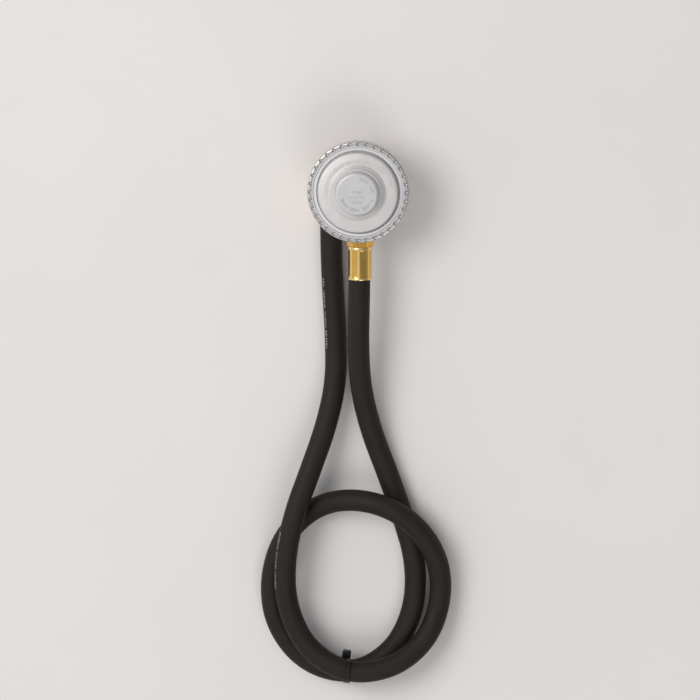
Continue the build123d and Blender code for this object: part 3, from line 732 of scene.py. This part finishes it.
def make_sleeve(name, start, stands_for):
    """A crimped sleeve: a round collar, eight pressed flats that run out in scallops, and a lip."""
    octagon = polygon_radius(8, SLEEVE_FLAT_R)
    corner_up = math.pi / 8

    def pressed(swell):
        """The section where the flats run out: swell goes from 0, fully pressed, to 1, round."""
        rise = (SLEEVE_COLLAR_R - SLEEVE_FLAT_R) * swell
        filled = SLEEVE_FLAT_R - SLEEVE_FLAT_MARGIN + rise
        return lambda angle: max(min(octagon(angle + corner_up), SLEEVE_LAND_R), filled)

    def run(distance, length):
        """How round the section is at a distance from the flats' end: slow at first, then steep."""
        share = min(1.0, distance / length)
        return 1 - math.sqrt(1 - share * share)

    lip_start = SLEEVE_LENGTH - SLEEVE_LIP
    flats_start = SLEEVE_COLLAR + SLEEVE_RUN_IN
    flats_end = lip_start - SLEEVE_RUN_OUT
    rows = [(0.0, SLEEVE_WEB_R), (0.0, SLEEVE_MOUTH_R), *SLEEVE_EDGE]
    for y in steps(SLEEVE_COLLAR, flats_start, SLEEVE_ROWS):
        rows.append((y, pressed(run(flats_start - y, SLEEVE_RUN_IN))))
    for y in steps(flats_start + 1.0, flats_end, SLEEVE_FLAT_ROWS):
        rows.append((y, pressed(0.0)))
    for y in steps(flats_end + SLEEVE_ROWS, lip_start - 2 * SLEEVE_ROWS, SLEEVE_ROWS):
        rows.append((y, pressed(run(y - flats_end, SLEEVE_RUN_OUT))))
    rows += [(lip_start + distance, radius) for distance, radius in SLEEVE_LIP_EDGE]
    rows += [
        (SLEEVE_LENGTH, SLEEVE_LIP_END_R),
        (SLEEVE_LENGTH, SLEEVE_MOUTH_R),
        (SLEEVE_LENGTH - 0.5, SLEEVE_BORE_R),
        (SLEEVE_WEB, SLEEVE_BORE_R),
        (SLEEVE_WEB, SLEEVE_WEB_R),
    ]
    bm = turned(rows, Vector(start), -Y_AXIS, Z_AXIS, SLEEVE_COLUMNS)
    brass = brass_material(f"{name}_brass", *FERRULE_LOOK, axis=(start[0] * MM, start[2] * MM))
    return add_piece(name, bm, "housing", "ferrule_brass", brass, stands_for)


NUT_BASE = -2.8
NUT_TOP = 11.2
NUT_FLAT_R = 8.5
NUT_THREAD_R = 5.72
NUT_THREAD_DEPTH = 0.86
NUT_PITCH = 1.337
NUT_THREAD_ROWS = 0.11
NUT_MOUTH_CHAMFER = 1.0
NUT_FACE_R = 7.9
NUT_FLAT_ROWS = 1.2
NUT_THREAD_END = 6.1
NUT_CORNER_R = 9.78
NUT_COLUMNS = 180
# (distance in from either end, greatest radius there): the turned chamfers on the hexagon.
NUT_CHAMFER = [(0.04, 8.3), (0.15, 8.6), (0.3, 8.87), (0.5, 9.22), (0.7, 9.57), (0.85, 9.8)]
# (distance, radius) from the thread's end back through the chamber to the hole in the nut's base.
NUT_CHAMBER = [(5.95, 6.1), (0.4, 6.1), (0.4, 4.55), (NUT_BASE + 0.2, 4.55)]


def make_swivel_nut():
    """The outlet nut: turned chamfers on a hexagon, and a helical thread in its mouth."""
    hexagon = polygon_radius(6, NUT_FLAT_R)
    rows = [(NUT_BASE, 4.75), (NUT_BASE, NUT_FACE_R)]
    for inward, limit in NUT_CHAMFER:
        rows.append((NUT_BASE + inward, capped(hexagon, limit)))
    for y in steps(NUT_BASE + 1.5, NUT_TOP - 1.5, NUT_FLAT_ROWS):
        rows.append((y, capped(hexagon, NUT_CORNER_R)))
    for inward, limit in reversed(NUT_CHAMFER):
        rows.append((NUT_TOP - inward, capped(hexagon, limit)))
    rows += [(NUT_TOP, NUT_FACE_R), (NUT_TOP, 6.75)]
    for y in steps(NUT_TOP - 0.1, NUT_THREAD_END, NUT_THREAD_ROWS):
        groove = screw(NUT_THREAD_R, NUT_THREAD_DEPTH, NUT_PITCH, y)
        mouth = NUT_THREAD_R + NUT_MOUTH_CHAMFER - (NUT_TOP - y)
        rows.append((y, lambda angle, g=groove, m=mouth: max(g(angle), m)))
    bm = turned(rows + NUT_CHAMBER, Vector(FAR_NUT), Y_AXIS, Z_AXIS, NUT_COLUMNS)
    return add_piece("swivel_nut_threaded", bm, "outlet_nut", "brass", turned_brass, "swivel_nut")


# ---------------------------------------------------------------- cable tie

# The tie lies in an upright plane at TIE_X, turned a little about Z. Its strap goes round two
# strands, whose centres are (y, z) pairs.
TIE_X = -8.5
TIE_TURN = math.radians(-8.5)
TIE_LOW = Vector((-323.4, 8.45))
TIE_HIGH = Vector((-319.3, 23.6))
TIE_R = 7.75
STRAP_HALF = 0.5
TIE_HEAD = (5.6, 6.2, 5.2)
TIE_HEAD_SHIFT = -2.8
TIE_HEAD_GAP = 0.45
TIE_HEAD_BEVEL = 1.1
# The wall round the head's slot, its sloping edge and its fall; the same for the cut end in it.
TIE_SLOT = (0.55, 0.12, -1.7)
TIE_CUT_END = (0.22, 0.06, 1.1)
STRAP_STEP = 6
# (along the strap's width, outwards) round its section, with a rail on each outer edge.
STRAP_SECTION = [
    (-1.75, -0.4),
    (-1.6, -0.5),
    (1.6, -0.5),
    (1.75, -0.4),
    (1.75, 0.3),
    (1.6, 0.48),
    (1.3, 0.5),
    (1.1, 0.34),
    (-1.1, 0.34),
    (-1.3, 0.5),
    (-1.6, 0.48),
    (-1.75, 0.3),
]


def step_face(bm, face, wall, edge, rise):
    """Insets a face by a wall and an edge and moves it along Z, so that the edge slopes."""
    for thickness in (wall, edge):
        bmesh.ops.inset_individual(bm, faces=[face], thickness=thickness * MM)
    for vert in face.verts:
        vert.co.z += rise * MM


def add_tie_head(bm, seat, normal, across):
    """The tie's head: a rounded block with a slot in its top and the strap's cut end in that."""
    box = bmesh.ops.create_cube(bm, size=1.0)["verts"]
    turn = Matrix((normal, across, Z_AXIS)).transposed()
    for vert in box:
        size = Vector([c * s for c, s in zip(vert.co, TIE_HEAD)])
        vert.co = (seat + turn @ size) * MM
    bevelled = bmesh.ops.bevel(
        bm,
        geom=[edge for edge in bm.edges if edge.verts[0] in box],
        offset=TIE_HEAD_BEVEL * MM,
        segments=4,
        profile=0.5,
        affect="EDGES",
        clamp_overlap=True,
    )
    whole = {face for vert in bevelled["verts"] if vert.is_valid for face in vert.link_faces}
    top = max(whole, key=lambda face: face.calc_center_median().z + face.calc_area() * 1e3)
    step_face(bm, top, *TIE_SLOT)
    step_face(bm, top, *TIE_CUT_END)


def make_cable_tie():
    """A nylon tie: a railed strap round both strands, and its head."""
    normal = outward(TIE_TURN)
    across = Vector((-normal.y, normal.x, 0))
    middle = (TIE_LOW + TIE_HIGH) / 2
    centre = Vector((TIE_X, middle.x, middle.y))
    span = TIE_HIGH - TIE_LOW
    lean = math.atan2(span.y, span.x)
    rows = []
    for end, first in ((1, -90), (-1, 90)):
        hub = centre + (across * math.cos(lean) + Z_AXIS * math.sin(lean)) * (end * span.length / 2)
        for turn in range(0, 181, STRAP_STEP):
            angle = lean + math.radians(first + turn)
            spoke = across * math.cos(angle) + Z_AXIS * math.sin(angle)
            line = hub + spoke * TIE_R
            rows.append([(line + normal * w + spoke * t) * MM for w, t in STRAP_SECTION])
    bm = loft(rows)
    reach = TIE_R - STRAP_HALF + TIE_HEAD_GAP + TIE_HEAD[1] / 2
    add_tie_head(bm, centre + across * reach + normal * TIE_HEAD_SHIFT, normal, across)
    bm = in_fixed_order(bm)
    return add_piece("tie_strap_and_head", bm, "housing", "tie_nylon", tie_plastic, "cable_tie")


# ---------------------------------------------------------------- the spring and the diaphragm

PLATE_TOP = 38.8
SPRING_TOP = 48.0
SPRING_R = 8.9
WIRE_R = 0.6
SPRING_TURNS = 3.25
SPRING_GAP = 0.05
SPRING_FLAT_SHARE = 0.12
SPRING_RISE_SHARE = 0.76
SPRING_ROWS = 200
WIRE_COLUMNS = 12


def make_main_spring():
    """The pressure spring, wound with flat ends."""
    low = PLATE_TOP + WIRE_R + SPRING_GAP
    rise = SPRING_TOP - WIRE_R - SPRING_GAP - low
    rows = []
    for i in range(SPRING_ROWS + 1):
        share = i / SPRING_ROWS
        out = outward(share * SPRING_TURNS * 2 * math.pi)
        height = low + rise * clamp((share - SPRING_FLAT_SHARE) / SPRING_RISE_SHARE)
        row = []
        for step in range(WIRE_COLUMNS):
            turn = 2 * math.pi * step / WIRE_COLUMNS
            reach = SPRING_R + WIRE_R * math.cos(turn)
            row.append((out * reach + Z_AXIS * (height + WIRE_R * math.sin(turn))) * MM)
        rows.append(row)
    bm = loft(rows, capped_ends=True)
    spring = add_piece(
        "pressure_spring", bm, "diaphragm_stack", "spring_steel", steel, "main_spring"
    )
    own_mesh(spring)


SECTORS = 12
SECTOR_STEPS = 8
DIAPHRAGM_LOW = 37.0
DIAPHRAGM_THICK = 0.8
ROLL_HEIGHT = 1.6
ROLL_INNER = 19.0
ROLL_OUTER = 23.7
ROLL_STEP = 0.3
ROLL_POWER = 0.8
# Radii of the clamped middle inside the roll, and of the clamped edge outside it.
MIDDLE_RADII = [2.6, 8.0, 14.0, 18.5]
EDGE_RADII = [24.5, 28.0, 31.4]


def make_diaphragm():
    """The rolling diaphragm, built in sectors."""
    line = []
    for radius in MIDDLE_RADII + steps(ROLL_INNER, ROLL_OUTER, ROLL_STEP) + EDGE_RADII:
        share = clamp((radius - ROLL_INNER) / (ROLL_OUTER - ROLL_INNER))
        line.append((radius, ROLL_HEIGHT * math.sin(math.pi * share) ** ROLL_POWER))
    loop = [(r, DIAPHRAGM_LOW + z) for r, z in line]
    loop += [(r, DIAPHRAGM_LOW + DIAPHRAGM_THICK + z) for r, z in reversed(line)]
    for sector in range(SECTORS):
        rows = []
        for column in range(SECTOR_STEPS + 1):
            out = outward(2 * math.pi * (sector + column / SECTOR_STEPS) / SECTORS)
            rows.append([(out * r + Z_AXIS * z) * MM for r, z in loop])
        bm = loft(rows, capped_ends=True)
        piece = make_object(f"diaphragm_sector_{sector + 1:02d}", bm, seal_rubber)
        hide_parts("diaphragm")
        out = outward(2 * math.pi * (sector + 0.5) / SECTORS) * MM
        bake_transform(piece)


# ---------------------------------------------------------------- hose


def make_hose(pieces_on_it):
    """The hose as the part's one cord; the pieces given to it are not used."""
    piece = route_curve("gas_hose", HOSE_R)
    piece.data.materials.append(hose_rubber)
    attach(piece, "housing")
    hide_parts("hose")


# Where the faint print shows: start and end along the hose from the regulator, in metres, and the
# side it faces.
PRINTED = [
    (0.7545, 0.793, Vector((-0.86, 0.0, 0.5))),
    (0.918, 0.965, Vector((-0.8, 0.0, 0.6))),
]
PRINT_WIDTH = 1.7
PRINT_RISE = 0.04
PRINT_SINK = 0.1
PRINT_SEED = 7
TICK_LENGTHS = (0.5, 0.7, 1.0)
TICK_GAP = 0.75
GROUP_GAP = 2.4
TICKS_IN_GROUP = 8


def make_hose_print():
    """Faint generic tick marks in place of the hose's printed line."""
    points, along = route_points()
    draw = random.Random(PRINT_SEED)
    half = PRINT_WIDTH * MM / 2 / HOSE_R
    bm = bmesh.new()
    for start, end, facing in PRINTED:
        place, mark = start, 0
        while place < end:
            length = draw.choice(TICK_LENGTHS) * MM
            mark += 1
            gap = (TICK_GAP if mark % TICKS_IN_GROUP else GROUP_GAP) * MM
            index = bisect.bisect_left(along, place)
            here, after = points[index - 1], points[index]
            share = (place - along[index - 1]) / (along[index] - along[index - 1])
            centre = here.lerp(after, share)
            tangent = (after - here).normalized()
            out = (facing - facing.dot(tangent) * tangent).normalized()
            print_tick(bm, centre, tangent, out, length, half)
            place += length + gap
    return add_piece("hose_print", bm, "housing", "hose_rubber", print_ink)


def print_tick(bm, centre, tangent, out, length, half):
    """One tick: a thin closed patch on the hose's surface; half is half its width, in radians."""
    side = tangent.cross(out)
    layers = []
    for radius in (HOSE_R - PRINT_SINK * MM, HOSE_R + PRINT_RISE * MM):
        for end in (-0.5, 0.5):
            row = []
            for share in (-1, -0.33, 0.33, 1):
                spoke = out * math.cos(share * half) + side * math.sin(share * half)
                row.append(bm.verts.new(centre + tangent * (end * length) + spoke * radius))
            layers.append(row)
    low_a, low_b, high_a, high_b = layers
    for i in range(3):
        bm.faces.new((low_a[i], low_a[i + 1], low_b[i + 1], low_b[i]))
        bm.faces.new((high_a[i], high_b[i], high_b[i + 1], high_a[i + 1]))
        bm.faces.new((low_a[i], high_a[i], high_a[i + 1], low_a[i + 1]))
        bm.faces.new((low_b[i], low_b[i + 1], high_b[i + 1], high_b[i]))
    bm.faces.new((low_a[0], low_b[0], high_b[0], high_a[0]))
    bm.faces.new((low_a[3], high_a[3], high_b[3], low_b[3]))


# ---------------------------------------------------------------- raised marks

BAR_WIDTH_SHARES = (0.7, 1.0, 1.5)
BAR_LENGTH_SHARES = (1.0, 1.0, 0.55)
BARS_TO_A_GAP = 6
# Each arc: radius, height, start and end in degrees from +X, count, width, length, rise and seed.
FACE_ARCS = [(20.2, 46.0, 138, 42, 22, 0.7, 2.0, 0.16, 3)]
CAP_ARCS = [
    (10.2, 53.03, 200, 338, 19, 0.8, 2.2, 0.45, 5),
    (10.2, 53.03, 78, 8, 10, 0.8, 2.0, 0.4, 8),
]
# Each row across the cap: y, height, rise, the way its bars run, and (x, length) of each.
CAP_ROWS = [
    (1.4, 53.12, 0.4, Y_AXIS, [(x, 1.6) for x in (-2.2, -0.6, 0.9, 2.4)]),
    (-2.4, 53.1, 0.35, X_AXIS, [(-4.4, 2.6), (-1.4, 1.2), (0.4, 1.2), (3.2, 2.2)]),
    (-5.2, 53.08, 0.35, Y_AXIS, [(x, 1.5) for x in (-2.6, -1.2, 0.4, 1.6, 3.0)]),
]
CAP_ROW_WIDTH = 0.8


def arc_of_bars(bm, radius, height, start, end, count, width, length, rise, seed):
    """Bars set like spokes along an arc. Every sixth is left out as a gap."""
    draw = random.Random(seed)
    for i in range(count):
        out = outward(math.radians(start + (end - start) * i / (count - 1)))
        side = Vector((-out.y, out.x, 0))
        thick = width * draw.choice(BAR_WIDTH_SHARES)
        tall = length * draw.choice(BAR_LENGTH_SHARES)
        if (i + 1) % BARS_TO_A_GAP:
            bar(bm, out * radius + Z_AXIS * height, out, side, tall, thick, rise)


def make_marks():
    """Generic raised bars where the real face and cap carry cast-in marks."""
    face = bmesh.new()
    for arc in FACE_ARCS:
        arc_of_bars(face, *arc)
    add_piece("face_marks", face, "housing", "casting", casting)
    cap = bmesh.new()
    for arc in CAP_ARCS:
        arc_of_bars(cap, *arc)
    for y, height, rise, long_way, bars in CAP_ROWS:
        cross_way = X_AXIS + Y_AXIS - long_way
        for x, length in bars:
            place = Vector((x, y, height))
            bar(cap, place, long_way, cross_way, length, CAP_ROW_WIDTH, rise)
    add_piece("cap_marks", cap, "housing", "cap", cap_metal)


make_inlet_stem()
make_hand_collar()
make_main_spring()
make_diaphragm()
make_sleeve("crimp_sleeve_regulator", REGULATOR_SLEEVE, "regulator_ferrule")
far_sleeve = make_sleeve("crimp_sleeve_far_end", FAR_SLEEVE, "outlet_ferrule")
far_nut = make_swivel_nut()
tie = make_cable_tie()
make_hose([far_sleeve, far_nut, tie, NODES["outlet_tail"], make_hose_print()])
make_marks()


# ---------------------------------------------------------------- surroundings

FLOOR_CORNERS = ((-1, -1), (1, -1), (1, 1), (-1, 1))
FLOOR_HALF = 3.0
FLOOR_Z = -0.0002


def make_floor():
    """A pale, matt, slightly cloudy floor, a hair below the part's lowest point."""
    mesh = bpy.data.meshes.new("floor")
    corners = [(x * FLOOR_HALF, y * FLOOR_HALF, FLOOR_Z) for x, y in FLOOR_CORNERS]
    mesh.from_pydata(corners, [], [(0, 1, 2, 3)])
    floor = new_object("floor", mesh)
    s = Shader("pale_floor")
    s.set(Roughness=0.7)
    tone = s.noise(6, 3)
    mesh.materials.append(s.finish(s.ramp(tone, (0.80, 0.77, 0.745), (0.82, 0.79, 0.765))))


LIGHT_AIM = Vector((0.0, -0.14, 0.02))
LIGHT_SIZE = 1.2


def make_light(name, place, power, colour):
    """A soft round lamp that points at the middle of the part."""
    data = bpy.data.lights.new(name, "AREA")
    data.shape = "DISK"
    data.size = LIGHT_SIZE
    data.energy = power
    data.color = colour
    light = new_object(name, data)
    light.location = place
    light.rotation_euler = (LIGHT_AIM - Vector(place)).to_track_quat("-Z", "Y").to_euler()


SKY_COLOUR = (0.95, 0.965, 1.0, 1.0)
# The sky's strength goes from its left value to its right value as X goes from -0.75 to 0.75.
SKY_SPAN = {"From Min": -0.75, "From Max": 0.75, "To Min": 0.70, "To Max": 0.28}


def make_world():
    """Soft light from all round, brighter on the left than on the right."""
    world = bpy.data.worlds.new("soft_studio")
    world.use_nodes = True
    tree = world.node_tree
    sky = tree.nodes["Background"]
    sky.inputs["Color"].default_value = SKY_COLOUR
    split = tree.nodes.new("ShaderNodeSeparateXYZ")
    tree.links.new(tree.nodes.new("ShaderNodeTexCoord").outputs["Generated"], split.inputs[0])
    span = tree.nodes.new("ShaderNodeMapRange")
    for socket, value in SKY_SPAN.items():
        span.inputs[socket].default_value = value
    tree.links.new(split.outputs["X"], span.inputs["Value"])
    tree.links.new(span.outputs["Result"], sky.inputs["Strength"])
    bpy.context.scene.world = world


make_floor()
make_world()
make_light("key", (-0.95, 0.5, 1.65), 17.0, (1.0, 0.975, 0.95))
make_light("fill", (0.55, -1.3, 1.7), 8.0, (1.0, 0.98, 0.96))
bpy.context.scene.view_settings.view_transform = "Standard"
